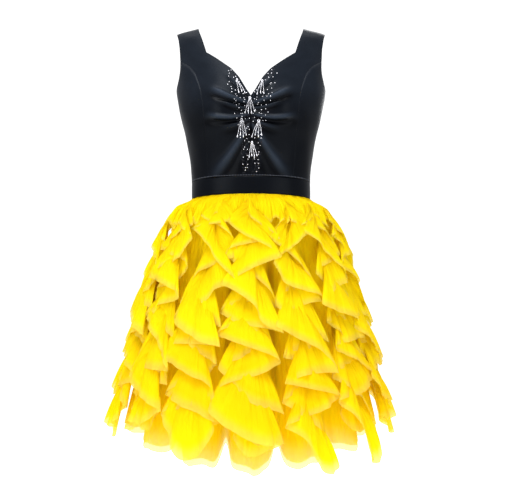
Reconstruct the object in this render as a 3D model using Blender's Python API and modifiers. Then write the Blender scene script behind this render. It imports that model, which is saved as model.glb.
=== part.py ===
"""Bralette dress: satin sweetheart bodice on wide straps, fitted waistband, and a short full skirt
covered in cascading tulle ruffles, filled out as if worn.

Origin at the middle of the shoulder line that carries the straps. +Z up, the front faces -Y, and +X is
on the viewer's right. Sizes are millimetres; MM turns them into Blender's metres. "drop" is always the
distance below the shoulder line, and "theta" runs round the body: 0 at centre front, 90 degrees at the
side seam on +X, 180 degrees at centre back.
"""
import math

import bmesh
import bpy
import numpy as np
from mathutils import Matrix, Vector

MM = 0.001

# Driving sizes of the cloth and of the gaps between pieces
SATIN_WALL = 1.6
TULLE_WALL = 1.0
SEAM_GAP = 0.3
HALF_GAP = SEAM_GAP / 2.0
SIDE_SEAM = math.pi / 2.0

# Heights of the waistband, as drops below the shoulder line
BAND_TOP = 312.0
BAND_BOTTOM = 345.0

# Body sections of the bodice: drop, half width, depth in front of and behind the side seams
BODICE_COLUMNS = ("drop", "half_width", "front", "back")
BODICE_SECTIONS = (
    (0.0, 162.0, 0.3, 0.3),
    (0.8, 162.0, 9.0, 9.0),
    (3.0, 161.5, 20.0, 19.0),
    (8.0, 161.0, 34.0, 32.0),
    (18.0, 160.0, 52.0, 49.0),
    (35.0, 158.0, 70.0, 66.0),
    (60.0, 154.5, 84.0, 80.0),
    (80.0, 152.0, 92.0, 87.0),
    (105.0, 150.0, 100.0, 93.0),
    (130.0, 149.0, 106.0, 97.0),
    (160.0, 144.5, 111.0, 99.0),
    (188.0, 138.5, 112.5, 99.0),
    (215.0, 131.5, 110.0, 97.0),
    (250.0, 124.5, 102.0, 93.0),
    (285.0, 120.0, 95.0, 89.5),
    (312.0, 118.5, 92.0, 88.0),
    (345.0, 118.5, 92.0, 88.0),
)
SECTION_POWER = 2.3

# Cups: a soft swell on each side and a shallow hollow between them at centre front
CUP_X = 66.0
CUP_DROP = 186.0
CUP_WIDTH = 38.0
CUP_HEIGHT = 42.0
CUP_SWELL = 11.0
CLEFT_WIDTH = 26.0
CLEFT_DEPTH = 7.0

# Straps: how far the outer edge lies below the inner edge at the shoulder
SHOULDER_SLOPE = 0.23
SHOULDER_SLOPE_FADE = 60.0
STRAP_INNER_X = 105.0

# Edges of the panels, as distance from the centre line at each drop
EDGE_COLUMNS = ("drop", "x")
NECK_EDGE = ((0.0, 105.0), (20.0, 101.0), (45.0, 93.0), (72.0, 85.0), (84.0, 69.0), (96.0, 54.0),
             (110.0, 37.0), (128.0, 22.0), (152.0, 8.0), (163.0, 0.0))
STRAP_OUTER_EDGE = ((0.0, 149.0), (20.0, 144.0), (50.0, 140.0), (80.0, 138.0))
PRINCESS_SEAM = ((80.0, 138.0), (88.0, 127.0), (96.0, 117.5), (110.0, 107.5), (128.0, 100.5),
                 (145.0, 95.5), (172.0, 91.0), (204.0, 88.5), (245.0, 85.0), (312.0, 80.0))
BACK_NECK_EDGE = ((0.0, 105.0), (20.0, 103.0), (50.0, 96.0), (78.0, 82.0), (98.0, 56.0),
                  (110.0, 28.0), (115.0, 0.0))
BACK_ARMHOLE_EDGE = ((0.0, 149.0), (25.0, 144.0), (60.0, 139.0), (90.0, 138.5), (112.0, 143.0),
                     (124.0, 147.4), (130.0, 149.0))
ARMHOLE_TOP = 80.0
UNDERARM = 130.0

# Rows of each panel's grid, as drops
CENTRE_ROWS = (0.0, 0.8, 3.0, 8.0, 18.0, 35.0, 55.0, 72.0, 80.0, 88.0, 96.0, 110.0, 128.0, 145.0, 163.0,
               172.0, 182.0, 192.0, 204.0, 220.0, 245.0, 280.0, BAND_TOP)
BACK_ROWS = (0.0, 0.8, 3.0, 8.0, 18.0, 35.0, 60.0, 78.0, 98.0, 110.0, 115.0, 120.0, 125.0, 130.0,
             160.0, 200.0, 250.0, BAND_TOP)
CENTRE_SPANS = 9
SIDE_SPANS = 6
BACK_SPANS = 8
BAND_ROWS = 1
BAND_FRONT_SPANS = 20
BAND_BACK_SPANS = 10

# Gathers drawn in at centre front: each fold runs from the centre line out across the cup.
# Columns: start drop, end x, end drop, height, half width
CENTRE_FOLDS = (
    (167.0, 46.0, 138.0, 2.6, 6.0),
    (178.0, 62.0, 164.0, 3.2, 6.5),
    (190.0, 66.0, 192.0, 3.0, 6.5),
    (202.0, 56.0, 224.0, 2.4, 7.0),
)

# Skirt sections of the underskirt: drop, half width, half depth, depth of the flutes
SKIRT_COLUMNS = ("drop", "half_width", "half_depth", "flute")
SKIRT_SECTIONS = (
    (345.0, 116.2, 89.5, 0.0),
    (350.0, 118.0, 91.0, 0.0),
    (358.0, 128.0, 101.0, 1.0),
    (385.0, 144.0, 117.0, 3.0),
    (420.0, 156.0, 129.0, 4.5),
    (480.0, 170.0, 143.0, 6.0),
    (560.0, 184.0, 157.0, 9.0),
    (640.0, 201.0, 174.0, 12.0),
    (720.0, 219.0, 192.0, 16.0),
    (800.0, 234.0, 207.0, 20.0),
    (840.0, 240.0, 213.0, 21.0),
)
FLUTES = 15
SPANS_PER_FLUTE = 6
SKIRT_ROWS = 5
SKIRT_ROW_POWER = 1.25
HEM_SIDE_DROP = 786.0
HEM_FRONT_EXTRA = 53.0
HEM_BACK_EXTRA = 40.0
HEM_SCALLOP = 40.0
HEM_SCALLOP_POWER = 4

# Gathered flounce sewn under the waistband, over the top of the underskirt
FLOUNCE_COLUMNS = ("drop", "half_width", "half_depth", "gather")
FLOUNCE_SECTIONS = (
    (345.5, 120.5, 94.0, 0.8),
    (349.0, 123.5, 97.0, 1.4),
    (364.0, 147.0, 120.5, 4.5),
    (398.0, 166.0, 139.5, 6.5),
)
GATHERS = 30
FLOUNCE_TONGUE = 7.0
SPANS_PER_GATHER = 4

# Ruffle columns: one strip of tulle sewn down each flute's crest, its free edge falling from side to side.
# Columns: name, theta in degrees, drops where it starts and ends, waves, phase in rows, stand, fall
RUFFLES = (
    ("front", 0, 400.0, 712.0, 3.5, 2, 46.0, 82.0),
    ("front_right_1", 24, 404.0, 718.0, 3.5, 6, 48.0, 80.0),
    ("front_right_2", 48, 401.0, 706.0, 3.25, 0, 49.0, 79.0),
    ("side_right_1", 72, 402.0, 694.0, 3.25, 5, 49.0, 80.0),
    ("side_right_2", 96, 404.0, 690.0, 3.25, 10, 47.0, 80.0),
    ("back_right_1", 120, 400.0, 698.0, 3.5, 2, 48.0, 82.0),
    ("back_right_2", 144, 403.0, 706.0, 3.5, 8, 49.0, 80.0),
    ("back_right_3", 168, 401.0, 712.0, 3.25, 5, 46.0, 82.0),
    ("back_left_3", 192, 404.0, 708.0, 3.5, 10, 48.0, 80.0),
    ("back_left_2", 216, 400.0, 702.0, 3.25, 2, 48.0, 82.0),
    ("back_left_1", 240, 402.0, 696.0, 3.5, 6, 47.0, 81.0),
    ("side_left_2", 264, 404.0, 688.0, 3.25, 8, 50.0, 79.0),
    ("side_left_1", 288, 400.0, 696.0, 3.25, 0, 50.0, 80.0),
    ("front_left_2", 312, 403.0, 708.0, 3.5, 6, 50.0, 82.0),
    ("front_left_1", 336, 401.0, 716.0, 3.5, 10, 48.0, 82.0),
)
ROWS_PER_WAVE = 12
RUFFLE_SPANS = 2
RUFFLE_SIDE_GAP = 2.5
RUFFLE_SEAM_GAP = 0.4
RUFFLE_TOP_WIDTH = 0.6
RUFFLE_TOP_SPREAD = 0.85
RUFFLE_TOP_WAVES = 1.0
RUFFLE_END = 70.0
RUFFLE_END_TUCK = 0.25
SIDEWAYS_FIRST = 1.1
FALL_POWER = 1.2
SWING_UNEVEN = 0.05
UNEVEN_RATE = 0.37
SWING_POWER = 0.9
EDGE_TUCK = 0.04

# Thickening of a folded sheet: turns taken to find each point's direction, how hard the least
# favourable triangle pulls, the size of a turn, and the least facing that still widens the wall
DIRECTION_TURNS = 40
DIRECTION_PULL = 5.0
DIRECTION_STEP = 0.3
LEAST_FACING = 0.6

# Bead tassels on the bodice. Columns: x and drop of the head, its width, strands, their length and lean
TASSELS = (
    (-26.0, 138.0, 7.0, 3, 22.0, 9.0),
    (21.0, 140.0, 8.0, 3, 22.0, -3.0),
    (-2.0, 171.5, 10.0, 4, 26.0, 0.0),
    (-17.0, 212.0, 9.0, 4, 29.0, 0.0),
    (15.0, 215.0, 10.0, 4, 26.0, -4.0),
    (2.0, 254.0, 8.0, 4, 24.0, 2.0),
)
TASSEL_LIFT = 0.5
HEAD_HEIGHT = 5.0
HEAD_DEPTH = 3.0
HEAD_INSET = 0.3
STRAND_START = 1.5
STRAND_RADIUS = 0.75
STRAND_STEPS = (0.0, 0.72, 0.9, 1.0)
STRAND_WIDTHS = (1.0, 0.9, 2.0, 0.9)
STRAND_FAN = 0.7

# Concealed zip at centre back: slider at the top of the seam, its arch, and the pull looped through it
ZIP_DROP = 126.0
ZIP_STAND_OFF = 0.4
SLIDER_SIZE = (4.6, 2.0, 8.0)
ARCH_SIZE = (2.0, 2.6, 5.4)
ARCH_OPENING = (3.0, 1.6, 3.4)
PULL_SIZE = (5.2, 0.9, 24.0)
PULL_OPENING = (3.0, 3.0, 3.6)
PULL_BAR = 0.9
EDGE_BEVEL = 0.3


def remove_everything():
    """Empty the scene before modelling."""
    for item in list(bpy.data.objects):
        bpy.data.objects.remove(item, do_unlink=True)


def collection(name):
    """New collection linked to the scene."""
    made = bpy.data.collections.new(name)
    bpy.context.scene.collection.children.link(made)
    return made


def material(name, colour, roughness, metallic=0.0):
    """Principled material in one plain finish."""
    made = bpy.data.materials.new(name)
    made.use_nodes = True
    shader = made.node_tree.nodes["Principled BSDF"]
    shader.inputs["Base Color"].default_value = (*colour, 1.0)
    shader.inputs["Roughness"].default_value = roughness
    shader.inputs["Metallic"].default_value = metallic
    made.diffuse_color = (*colour, 1.0)
    return made


def column(table, names, name):
    """One named column of a table, as an array."""
    place = names.index(name)
    return np.array([row[place] for row in table], dtype=float)


def smooth(at, stations, values):
    """Smooth curve through a table's values that never swings past them (limited Hermite slopes)."""
    at = np.asarray(at, dtype=float)
    step = np.diff(stations)
    rise = np.diff(values) / step
    slope = np.zeros(len(values))
    product = rise[:-1] * rise[1:]
    total = rise[:-1] + rise[1:]
    inner = np.where(product > 0.0, 2.0 * product / np.where(total == 0.0, 1.0, total), 0.0)
    slope[1:-1] = inner
    slope[0] = rise[0]
    slope[-1] = rise[-1]
    place = np.clip(np.searchsorted(stations, at, side="right") - 1, 0, len(step) - 1)
    t = np.clip((at - stations[place]) / step[place], 0.0, 1.0)
    a = values[place] * (1.0 + 2.0 * t) * (1.0 - t) ** 2
    b = values[place + 1] * (3.0 - 2.0 * t) * t ** 2
    c = slope[place] * step[place] * t * (1.0 - t) ** 2
    d = slope[place + 1] * step[place] * t ** 2 * (t - 1.0)
    return a + b + c + d


def section(table, names, name, drop):
    """Value of one named column at any drop."""
    return smooth(drop, column(table, names, "drop"), column(table, names, name))


def edge_x(table, drop):
    """Distance of a panel's edge from the centre line at a drop, straight between its points."""
    return np.interp(drop, column(table, EDGE_COLUMNS, "drop"), column(table, EDGE_COLUMNS, "x"))


def signed_power(value, power):
    """Power that keeps the sign of its base."""
    return np.sign(value) * np.abs(value) ** power


def theta_at(x, drop):
    """Angle round the front of the body at a distance from the centre line."""
    half = section(BODICE_SECTIONS, BODICE_COLUMNS, "half_width", drop)
    return np.arcsin(np.clip(x / half, 0.0, 1.0) ** (SECTION_POWER / 2.0))


def body_point(theta, drop):
    """Bodice surface without gathers: superellipse sections with a swell at each cup."""
    half = section(BODICE_SECTIONS, BODICE_COLUMNS, "half_width", drop)
    front = section(BODICE_SECTIONS, BODICE_COLUMNS, "front", drop)
    back = section(BODICE_SECTIONS, BODICE_COLUMNS, "back", drop)
    x = half * signed_power(np.sin(theta), 2.0 / SECTION_POWER)
    depth = np.where(np.cos(theta) > 0.0, front, back)
    y = -depth * signed_power(np.cos(theta), 2.0 / SECTION_POWER)
    facing = np.clip(np.cos(theta), 0.0, 1.0)
    swell = np.exp(-((np.abs(x) - CUP_X) / CUP_WIDTH) ** 2 - ((drop - CUP_DROP) / CUP_HEIGHT) ** 2)
    cleft = np.exp(-(x / CLEFT_WIDTH) ** 2 - ((drop - CUP_DROP) / CUP_HEIGHT) ** 2)
    y = y - facing * (CUP_SWELL * swell - CLEFT_DEPTH * cleft)
    fade = np.clip(1.0 - drop / SHOULDER_SLOPE_FADE, 0.0, 1.0)
    slope = SHOULDER_SLOPE * np.clip(np.abs(x) - STRAP_INNER_X, 0.0, None) * fade
    return np.stack([x, y, -drop - slope], axis=-1)


def body_normal(theta, drop):
    """Outward direction of the bodice surface, from small steps round it and down it."""
    small = 1e-3
    round_step = body_point(theta + small, drop) - body_point(theta - small, drop)
    low = np.clip(drop - 0.2, 0.0, None)
    down_step = body_point(theta, drop + 0.2) - body_point(theta, low)
    normal = np.cross(down_step, round_step)
    normal[..., 1] = np.where(drop > 0.0, normal[..., 1], 0.0)
    return normal / np.linalg.norm(normal, axis=-1, keepdims=True)


def gather_relief(x, drop):
    """Height of the folds that run out from centre front, highest a little way out and fading."""
    relief = np.zeros(np.shape(x))
    for start_drop, end_x, end_drop, height, half_width in CENTRE_FOLDS:
        along_x = end_x
        along_drop = end_drop - start_drop
        length = math.hypot(along_x, along_drop)
        along = (np.abs(x) * along_x + (drop - start_drop) * along_drop) / length
        across = (np.abs(x) * along_drop - (drop - start_drop) * along_x) / length
        run = np.clip(along / length, 0.0, 1.0)
        reach = np.sin(math.pi * np.sqrt(run)) ** 0.8
        relief = relief + height * reach * np.exp(-(across / half_width) ** 2)
    return relief


def bodice_surface(theta, drop, out=0.0):
    """Point on the finished satin, gathers included, moved outwards."""
    base = body_point(theta, drop)
    relief = np.where(np.cos(theta) > 0.0, gather_relief(base[..., 0], drop), 0.0)
    return base + body_normal(theta, drop) * (relief + out)[..., None]


def grid_faces(rows, columns, offset=0):
    """Triangles of a grid of points counted row by row, every cell split along the same diagonal."""
    index = np.arange(rows * columns).reshape(rows, columns) + offset
    first = np.stack([index[:-1, :-1], index[1:, :-1], index[1:, 1:]], axis=-1)
    second = np.stack([index[:-1, :-1], index[1:, 1:], index[:-1, 1:]], axis=-1)
    return np.concatenate([first.reshape(-1, 3), second.reshape(-1, 3)])


def new_object(name, points, faces, finish, home):
    """Mesh object in metres, its faces turned outwards."""
    mesh = bpy.data.meshes.new(name)
    mesh.from_pydata((np.asarray(points) * MM).tolist(), [], faces)
    work = bmesh.new()
    work.from_mesh(mesh)
    bmesh.ops.recalc_face_normals(work, faces=work.faces)
    work.to_mesh(mesh)
    work.free()
    mesh.shade_smooth()
    mesh.materials.append(finish)
    made = bpy.data.objects.new(name, mesh)
    home.objects.link(made)
    return made


def wall(name, outer, inner, finish, home):
    """Closed cloth wall lofted between an outer and an inner grid of points."""
    rows, columns = outer.shape[:2]
    count = rows * columns
    points = np.concatenate([outer.reshape(-1, 3), inner.reshape(-1, 3)])
    index = np.arange(count).reshape(rows, columns)
    ring = np.concatenate([index[0, :-1], index[:-1, -1], index[-1, :0:-1], index[:0:-1, 0]])
    after = np.roll(ring, -1)
    rim = np.stack([ring, after, after + count, ring + count], axis=-1)
    inside = grid_faces(rows, columns, count)[:, ::-1]
    faces = grid_faces(rows, columns).tolist() + inside.tolist() + rim.tolist()
    return new_object(name, points, faces, finish, home)


def facing_directions(points, faces):
    """Direction at each point that every triangle round it faces, and how well the worst of them does."""
    corner = points[faces]
    normal = np.cross(corner[:, 1] - corner[:, 0], corner[:, 2] - corner[:, 0])
    normal = np.repeat(normal / np.linalg.norm(normal, axis=1, keepdims=True), 3, axis=0)
    owner = faces.reshape(-1)
    direction = np.zeros(points.shape)
    np.add.at(direction, owner, normal)
    direction /= np.linalg.norm(direction, axis=1, keepdims=True)
    for _ in range(DIRECTION_TURNS):
        facing = np.sum(direction[owner] * normal, axis=1)
        pull = np.zeros(points.shape)
        np.add.at(pull, owner, normal * np.exp(-DIRECTION_PULL * facing)[:, None])
        direction += DIRECTION_STEP * pull / np.linalg.norm(pull, axis=1, keepdims=True)
        direction /= np.linalg.norm(direction, axis=1, keepdims=True)
    least = np.ones(len(points))
    np.minimum.at(least, owner, np.sum(direction[owner] * normal, axis=1))
    return direction, least


def tulle_wall(name, surface, finish, home):
    """Sheet through a grid of points, thickened to both sides so that its two sides never meet."""
    rows, columns = surface.shape[:2]
    direction, least = facing_directions(surface.reshape(-1, 3), grid_faces(rows, columns))
    half = TULLE_WALL / 2.0 / np.clip(least, LEAST_FACING, 1.0)
    shift = (direction * half[:, None]).reshape(surface.shape)
    return wall(name, surface + shift, surface - shift, finish, home)


def satin_wall(name, theta, drop, finish, home):
    """Satin panel: the bodice surface over a grid of angles and drops, one wall thick."""
    return wall(name, bodice_surface(theta, drop), bodice_surface(theta, drop, -SATIN_WALL), finish, home)


def inset_theta(theta, drop, gap):
    """Angle moved round by a gap measured on the body."""
    small = 1e-3
    step = np.linalg.norm(body_point(theta + small, drop) - body_point(theta - small, drop), axis=-1)
    return theta + gap * 2.0 * small / np.maximum(step, 1e-6)


def centre_grid():
    """Angles and drops of the centre panel, from the neckline and centre front to the princess seam."""
    drop = np.array(CENTRE_ROWS)
    drop[-1] -= SEAM_GAP
    inner_x = np.maximum(edge_x(NECK_EDGE, drop), HALF_GAP)
    outer_x = np.where(drop < ARMHOLE_TOP, edge_x(STRAP_OUTER_EDGE, drop), edge_x(PRINCESS_SEAM, drop))
    inner = theta_at(inner_x, drop)
    outer = theta_at(outer_x, drop)
    outer = np.where(drop >= ARMHOLE_TOP, inset_theta(outer, drop, -HALF_GAP), outer)
    share = np.linspace(0.0, 1.0, CENTRE_SPANS + 1)
    theta = inner[:, None] + (outer - inner)[:, None] * share[None, :]
    return theta, np.broadcast_to(drop[:, None], theta.shape)


def make_front_centre(side, name, finish, home):
    """Centre panel of the front, cut in one with its strap."""
    theta, drop = centre_grid()
    return satin_wall(name, side * theta, drop, finish, home)


def make_front_side(side, name, finish, home):
    """Side front panel, from the princess seam to the side seam, with the armhole across its top."""
    share = np.linspace(0.0, 1.0, SIDE_SPANS + 1)
    top = ARMHOLE_TOP + (UNDERARM - ARMHOLE_TOP) * np.sqrt(1.0 - (1.0 - share) ** 2)
    rows = np.array([row for row in CENTRE_ROWS if row >= ARMHOLE_TOP])
    down = (rows - ARMHOLE_TOP) / (BAND_TOP - ARMHOLE_TOP)
    drop = top[None, :] + (BAND_TOP - SEAM_GAP - top)[None, :] * down[:, None]
    seam_drop = drop[:, :1]
    seam = inset_theta(theta_at(edge_x(PRINCESS_SEAM, seam_drop), seam_drop), seam_drop, HALF_GAP)
    side_seam = inset_theta(np.full(drop.shape, SIDE_SEAM), drop, -HALF_GAP)
    theta = seam + (side_seam - seam) * share[None, :]
    return satin_wall(name, side * theta, drop, finish, home)


def make_back(side, name, finish, home):
    """Back panel cut in one with its strap, from the side seam to the zip at centre back."""
    drop = np.array(BACK_ROWS)
    drop[-1] -= SEAM_GAP
    inner_x = np.maximum(edge_x(BACK_NECK_EDGE, drop), HALF_GAP)
    inner = math.pi - theta_at(inner_x, drop)
    armhole = math.pi - theta_at(edge_x(BACK_ARMHOLE_EDGE, drop), drop)
    side_seam = inset_theta(np.full(drop.shape, SIDE_SEAM), drop, HALF_GAP)
    outer = np.where(drop < UNDERARM, np.maximum(armhole, side_seam), side_seam)
    share = np.linspace(0.0, 1.0, BACK_SPANS + 1)
    theta = inner[:, None] + (outer - inner)[:, None] * share[None, :]
    return satin_wall(name, side * theta, np.broadcast_to(drop[:, None], theta.shape), finish, home)


def make_band(name, start, end, spans, finish, home):
    """Stretch of the waistband between two angles."""
    drop = np.linspace(BAND_TOP, BAND_BOTTOM, BAND_ROWS + 1)
    theta = np.linspace(start, end, spans + 1)
    theta, drop = np.meshgrid(theta, drop)
    gap = np.where(theta == start, HALF_GAP, np.where(theta == end, -HALF_GAP, 0.0))
    return satin_wall(name, inset_theta(theta, drop, gap), drop, finish, home)


def skirt_point(theta, drop, out=0.0):
    """Underskirt surface: an oval that widens downwards, with a flute under each ruffle column."""
    flute = section(SKIRT_SECTIONS, SKIRT_COLUMNS, "flute", drop) * np.cos(FLUTES * theta)
    width = section(SKIRT_SECTIONS, SKIRT_COLUMNS, "half_width", drop) + flute + out
    depth = section(SKIRT_SECTIONS, SKIRT_COLUMNS, "half_depth", drop) + flute + out
    return np.stack([width * np.sin(theta), -depth * np.cos(theta), -drop], axis=-1)


def hem_drop(theta):
    """Hem of the underskirt: longest at the front, shortest at the sides, each flute's tip the lowest."""
    extra = np.where(np.cos(theta) > 0.0, HEM_FRONT_EXTRA, HEM_BACK_EXTRA)
    scallop = HEM_SCALLOP * ((1.0 - np.cos(FLUTES * theta)) / 2.0) ** HEM_SCALLOP_POWER
    return HEM_SIDE_DROP + extra * np.cos(theta) ** 2 - scallop


def skirt_rows(theta):
    """Drops of the underskirt's rows at each angle, closer together near the waistband."""
    down = np.linspace(0.0, 1.0, SKIRT_ROWS + 1) ** SKIRT_ROW_POWER
    top = BAND_BOTTOM + 2.0 * SEAM_GAP
    return top + (hem_drop(theta) - top)[None, :] * down[:, None]


def make_underskirt(name, start, end, finish, home):
    """Stretch of the fluted underskirt between two angles, from the waistband to the hem."""
    spans = round((end - start) / (2.0 * math.pi) * FLUTES * SPANS_PER_FLUTE)
    theta = np.linspace(start, end, spans + 1)
    gap = 2.0 * HALF_GAP / section(SKIRT_SECTIONS, SKIRT_COLUMNS, "half_depth", np.array(BAND_BOTTOM + 1.0))
    theta[0] += gap
    theta[-1] -= gap
    drop = skirt_rows(theta)
    surface = skirt_point(np.broadcast_to(theta[None, :], drop.shape), drop)
    return tulle_wall(name, surface, finish, home)


def make_flounce(name, start, end, finish, home):
    """Stretch of the gathered flounce that puffs out under the waistband."""
    spans = round((end - start) / (2.0 * math.pi) * GATHERS * SPANS_PER_GATHER)
    theta = np.linspace(start, end, spans + 1)
    half_depth = column(FLOUNCE_SECTIONS, FLOUNCE_COLUMNS, "half_depth")
    theta[0] += 2.0 * HALF_GAP / half_depth[0]
    theta[-1] -= 2.0 * HALF_GAP / half_depth[0]
    drop = column(FLOUNCE_SECTIONS, FLOUNCE_COLUMNS, "drop")
    half_width = column(FLOUNCE_SECTIONS, FLOUNCE_COLUMNS, "half_width")
    gather = column(FLOUNCE_SECTIONS, FLOUNCE_COLUMNS, "gather")
    wave = gather[:, None] * np.cos(GATHERS * theta)[None, :]
    x = (half_width[:, None] + wave) * np.sin(theta)[None, :]
    y = -(half_depth[:, None] + wave) * np.cos(theta)[None, :]
    tongue = FLOUNCE_TONGUE * ((1.0 - np.cos(FLUTES * theta)) / 2.0) ** 2
    lowest = np.arange(len(drop)) == len(drop) - 1
    z = -drop[:, None] - lowest[:, None] * tongue[None, :]
    return tulle_wall(name, np.stack([x, y, z], axis=-1), finish, home)


def crest_sizes(theta, drop):
    """Half width and half depth of the underskirt along one flute's crest, straight between its rows."""
    rows = np.append(skirt_rows(np.array([theta]))[:, 0], SKIRT_SECTIONS[-1][0])
    flute = section(SKIRT_SECTIONS, SKIRT_COLUMNS, "flute", rows)
    width = section(SKIRT_SECTIONS, SKIRT_COLUMNS, "half_width", rows) + flute
    depth = section(SKIRT_SECTIONS, SKIRT_COLUMNS, "half_depth", rows) + flute
    return np.interp(drop, rows, width), np.interp(drop, rows, depth)


def ruffle_surface(theta, start, end, waves, phase, stand, fall, rows, spans):
    """Strip sewn down one flute. Across it the cloth goes out and falls; along it the free edge swings
    from side to side, tucked in a little at each turn."""
    along = np.linspace(0.0, 1.0, rows + 1)[:, None]
    across = np.linspace(0.0, 1.0, spans + 1)[None, :]
    drop = start + (end - start) * along
    shift = phase / ROWS_PER_WAVE
    swing = signed_power(np.sin(2.0 * math.pi * (waves * along + shift)), SWING_POWER)
    uneven = np.sin(2.0 * math.pi * (UNEVEN_RATE * waves * along + 3.0 * shift))
    swing = swing * (1.0 - SWING_UNEVEN + SWING_UNEVEN * uneven)
    opened = np.clip(along * waves / RUFFLE_TOP_WAVES, 0.0, 1.0)
    grow = RUFFLE_TOP_WIDTH + (1.0 - RUFFLE_TOP_WIDTH) * opened
    last = np.clip((drop - end) / RUFFLE_END + 1.0, 0.0, 1.0)
    tuck = EDGE_TUCK * swing ** 2 + RUFFLE_END_TUCK * last
    reach = np.sin(across * math.pi / 2.0) * (1.0 - tuck * across)
    out = RUFFLE_SEAM_GAP + TULLE_WALL + stand * grow * reach
    fallen = drop + fall * grow * across ** FALL_POWER
    width, depth = crest_sizes(math.radians(theta), fallen)
    width = width + out
    depth = depth + out
    sector = math.pi / FLUTES - RUFFLE_SIDE_GAP / depth
    spread = RUFFLE_TOP_SPREAD + (1.0 - RUFFLE_TOP_SPREAD) * opened
    sideways = np.sin(np.clip(across * SIDEWAYS_FIRST, 0.0, 1.0) * math.pi / 2.0)
    turned = math.radians(theta) + sector * spread * swing * sideways
    return np.stack([width * np.sin(turned), -depth * np.cos(turned), -fallen], axis=-1)


def make_ruffle(row, finish, home):
    """One ruffle column as a single thick sheet."""
    name, theta, start, end, waves, phase, stand, fall = row
    rows = round(waves * ROWS_PER_WAVE)
    surface = ruffle_surface(theta, start, end, waves, phase, stand, fall, rows, RUFFLE_SPANS)
    return tulle_wall("ruffle_" + name, surface, finish, home)


def on_panel(x, drop, lift):
    """Point above the faceted front of the bodice, read from the centre panel's own grid of points."""
    theta, rows = centre_grid()
    grid = bodice_surface(theta, rows)
    levels = rows[:, 0]
    row = int(np.clip(np.searchsorted(levels, drop) - 1, 0, len(levels) - 2))
    share = (drop - levels[row]) / (levels[row + 1] - levels[row])
    upper = np.interp(abs(x), grid[row, :, 0], grid[row, :, 1])
    lower = np.interp(abs(x), grid[row + 1, :, 0], grid[row + 1, :, 1])
    here = np.array(math.copysign(float(theta_at(abs(x), np.array(drop))), x))
    out = body_normal(here, np.array(drop))
    return np.array([x, upper + (lower - upper) * share, -drop]) + out * lift, out


def move_face(face, x, drop, lift, radius):
    """Set a strand's four-sided section square to the bodice, centred at a lift above it."""
    centre, out = on_panel(x, drop, lift)
    across = np.cross(out, (0.0, 0.0, -1.0))
    across = across / np.linalg.norm(across)
    middle = np.array(face.calc_center_median())
    for vertex in face.verts:
        away = np.array(vertex.co) - middle
        side = math.copysign(radius, float(away @ across))
        front = math.copysign(radius, float(away @ out))
        vertex.co = (centre + across * side + out * front).tolist()


def grow_strand(work, face, x, drop, length, lean):
    """Extrude one face of a tassel's head down the bodice, swelling into a drop bead at its end."""
    lift = TASSEL_LIFT + STRAND_RADIUS * max(STRAND_WIDTHS)
    for step, width in zip(STRAND_STEPS, STRAND_WIDTHS):
        face = bmesh.ops.extrude_discrete_faces(work, faces=[face])["faces"][0]
        place = STRAND_START + length * step
        move_face(face, x + lean * step, drop + place, lift, STRAND_RADIUS * width)


def make_tassel(number, row, finish, home):
    """Bead tassel: a flat head that follows the satin, with its strands grown out of its lower face."""
    x, drop, head, strands, length, lean = row
    work = bmesh.new()
    bmesh.ops.create_grid(work, x_segments=strands, y_segments=1, size=0.5)
    lower = sorted(work.faces, key=lambda face: face.calc_center_median().x)
    raised = bmesh.ops.extrude_face_region(work, geom=list(work.faces), use_keep_orig=True)["geom"]
    for item in raised:
        if isinstance(item, bmesh.types.BMVert):
            item.co.z = 1.0
    for vertex in work.verts:
        u, v, w = vertex.co
        lift = TASSEL_LIFT + (v + 0.5) * HEAD_DEPTH
        vertex.co = on_panel(x + u * head, drop - w * HEAD_HEIGHT, lift)[0].tolist()
    work.normal_update()
    bmesh.ops.inset_individual(work, faces=lower, thickness=HEAD_INSET)
    for place, face in enumerate(lower):
        offset = ((place + 0.5) / strands - 0.5) * head
        grow_strand(work, face, x + offset, drop, length, lean + offset * STRAND_FAN)
    for vertex in work.verts:
        vertex.co *= MM
    bmesh.ops.recalc_face_normals(work, faces=work.faces)
    mesh = bpy.data.meshes.new("tassel_%d" % number)
    work.to_mesh(mesh)
    work.free()
    mesh.materials.append(finish)
    made = bpy.data.objects.new("tassel_%d" % number, mesh)
    home.objects.link(made)
    return made


def block(name, size, centre, home):
    """Box with its size applied, centred on a point in the zip's own millimetres."""
    bpy.ops.mesh.primitive_cube_add(size=1.0)
    made = bpy.context.object
    made.name = name
    made.data.name = name
    made.data.transform(Matrix.Diagonal((size[0] * MM, size[1] * MM, size[2] * MM, 1.0)))
    made.data.transform(Matrix.Translation([value * MM for value in centre]))
    for owner in list(made.users_collection):
        owner.objects.unlink(made)
    home.objects.link(made)
    return made


def combine(target, tool, operation):
    """Boolean with a hidden tool object."""
    step = target.modifiers.new(operation.lower(), "BOOLEAN")
    step.operation = operation
    step.object = tool
    tool.hide_render = True
    tool.display_type = "WIRE"


def round_edges(target, width, segments):
    """Small bevel on a metal piece."""
    bevel = target.modifiers.new("edges", "BEVEL")
    bevel.width = width * MM
    bevel.segments = segments
    bevel.limit_method = "ANGLE"


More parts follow.
